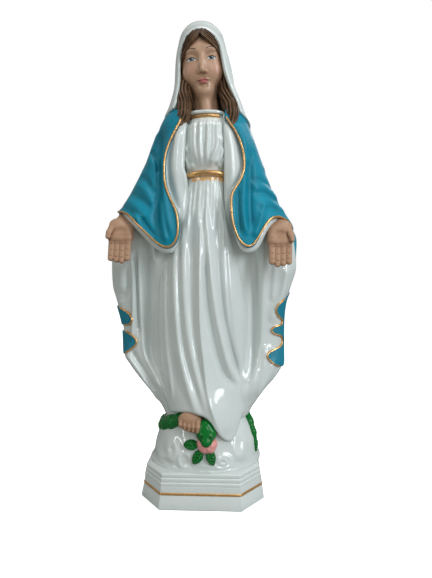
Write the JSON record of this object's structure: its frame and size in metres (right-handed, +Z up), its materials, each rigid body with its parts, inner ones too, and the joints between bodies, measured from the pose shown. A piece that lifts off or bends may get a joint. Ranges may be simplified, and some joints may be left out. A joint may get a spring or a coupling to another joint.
{
  "type": "madonna statue",
  "caption": "Standing robed figure with open hands, a serpent and fruit at the foot, on a globe and a stepped octagonal plinth.",
  "frame": {"origin": "middle of the plinth's underside", "axes": "+Z up, the figure faces -Y, its left hand is at +X"},
  "size_m": [0.1611, 0.092, 0.3998],
  "materials": {
    "glossy_white": "white moulded plastic, glossy",
    "mantle_blue": "teal blue paint, matt",
    "gilt": "gold paint on raised edges",
    "flesh": "flesh paint, satin",
    "brown_hair": "brown paint, satin",
    "serpent_green": "dark green paint, glossy",
    "apple_pink": "pink paint, satin"
  },
  "bodies": {
    "root": {"plinth": "glossy_white", "base_plate": "glossy_white", "globe": "glossy_white", "gown": "glossy_white", "lining_left": "glossy_white", "lining_right": "glossy_white", "veil": "glossy_white", "mantle_front_left": "mantle_blue", "mantle_front_right": "mantle_blue", "mantle_back": "mantle_blue", "belt": "gilt", "neckband": "gilt", "head": "flesh", "hand_left": "flesh", "hand_right": "flesh", "foot": "flesh", "hair_cap": "brown_hair", "hair_lock_left": "brown_hair", "hair_lock_right": "brown_hair", "serpent_body": "serpent_green", "serpent_head": "serpent_green", "leaf_side": "serpent_green", "leaf_lower_left": "serpent_green", "leaf_lower_right": "serpent_green", "apple": "apple_pink"}
  },
  "joints": []
}
